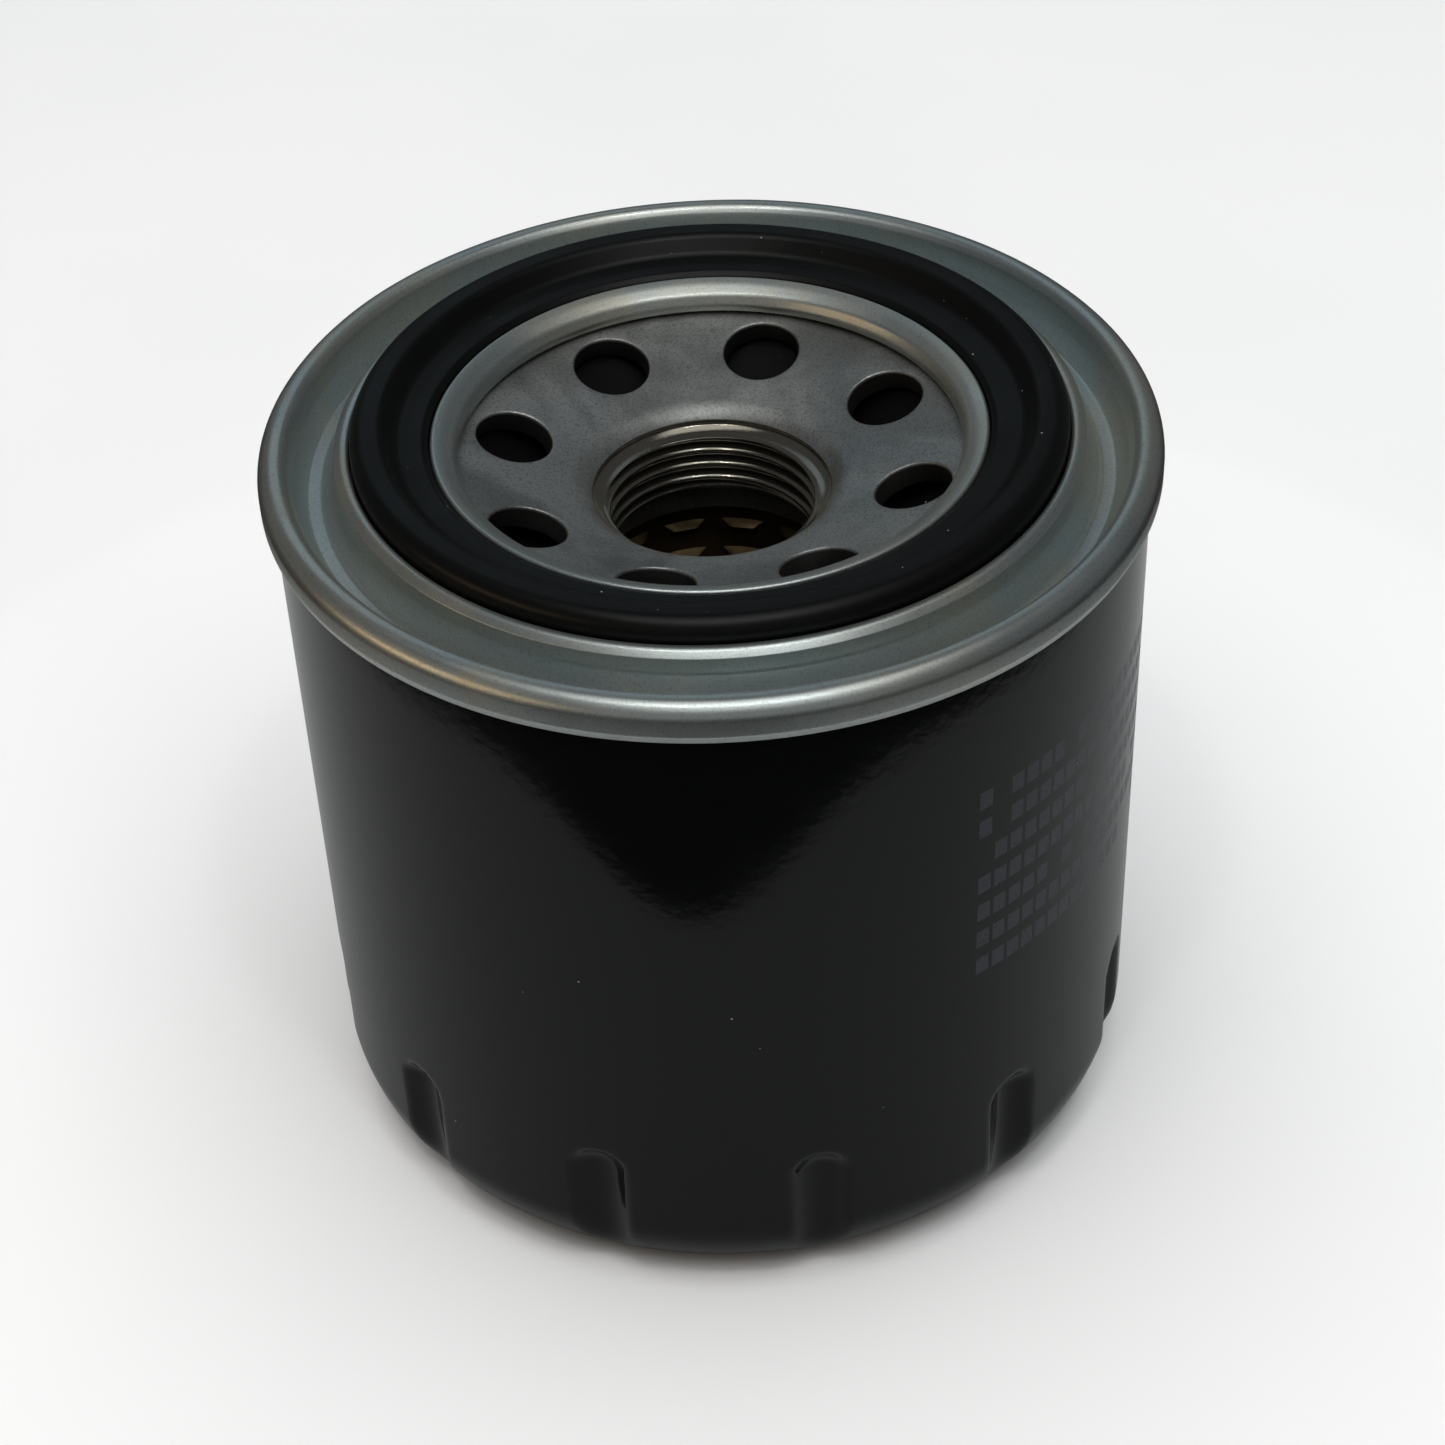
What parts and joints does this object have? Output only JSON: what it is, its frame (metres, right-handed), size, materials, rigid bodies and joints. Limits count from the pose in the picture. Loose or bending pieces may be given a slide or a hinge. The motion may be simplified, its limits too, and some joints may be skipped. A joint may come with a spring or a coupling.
{
  "type": "spin-on engine oil filter",
  "caption": "Black spin-on oil filter with a zinc-plated seamed lid, rubber gasket, threaded hub and oil inlets, fluted closed end, pleated element and bypass valve.",
  "frame": {"origin": "middle of the base, on the surface that the closed end stands on", "axes": "+Z is the filter's axis, from the closed end to the threaded end"},
  "size_m": [0.08, 0.08, 0.073],
  "materials": {
    "black_paint": "satin black enamel",
    "zinc_plate": "satin zinc plating",
    "compound": "cured sealing compound",
    "plate_steel": "oiled pressed steel",
    "rubber": "matte black, lightly oiled",
    "valve_rubber": "smooth black",
    "inner_steel": "plain sheet steel",
    "tube_steel": "oiled perforated sheet",
    "spring_steel": "drawn wire",
    "glue": "amber potting",
    "media_paper": "resin-treated pleated paper"
  },
  "bodies": {
    "shell": {"canister": "black_paint", "seaming_lid": "zinc_plate", "seam_compound": "compound", "thread_plate": "plate_steel", "sealing_gasket": "rubber", "support_spring": "spring_steel"},
    "drainback_flap": {"anti_drainback_valve": "valve_rubber"},
    "element": {"element_top_cap": "inner_steel", "element_bottom_cap": "inner_steel", "top_glue_bed": "glue", "bottom_glue_bed": "glue", "pleated_media": "media_paper", "media_seam_clip": "inner_steel", "centre_tube": "tube_steel", "bypass_cage": "inner_steel", "bypass_seal": "valve_rubber", "bypass_retainer": "inner_steel", "bypass_spring": "spring_steel"},
    "poppet": {"bypass_poppet": "inner_steel"}
  },
  "joints": [
    {"name": "element_float", "type": "slide", "parent": "shell", "child": "element", "axis": [0, 0, 1], "range_m": [-0.002, 0], "stiffness_N_per_m": 5000, "springref_m": 0.004, "deforming": ["support_spring"]},
    {"name": "flap_lift", "type": "slide", "parent": "shell", "child": "drainback_flap", "axis": [0, 0, 1], "range_m": [-0.0015, 0], "stiffness_N_per_m": 400, "springref_m": 0.0006, "deforming": ["anti_drainback_valve"]},
    {"name": "bypass_lift", "type": "slide", "parent": "element", "child": "poppet", "axis": [0, 0, 1], "range_m": [0, 0.003], "stiffness_N_per_m": 3000, "springref_m": -0.004, "deforming": ["bypass_spring"]}
  ]
}
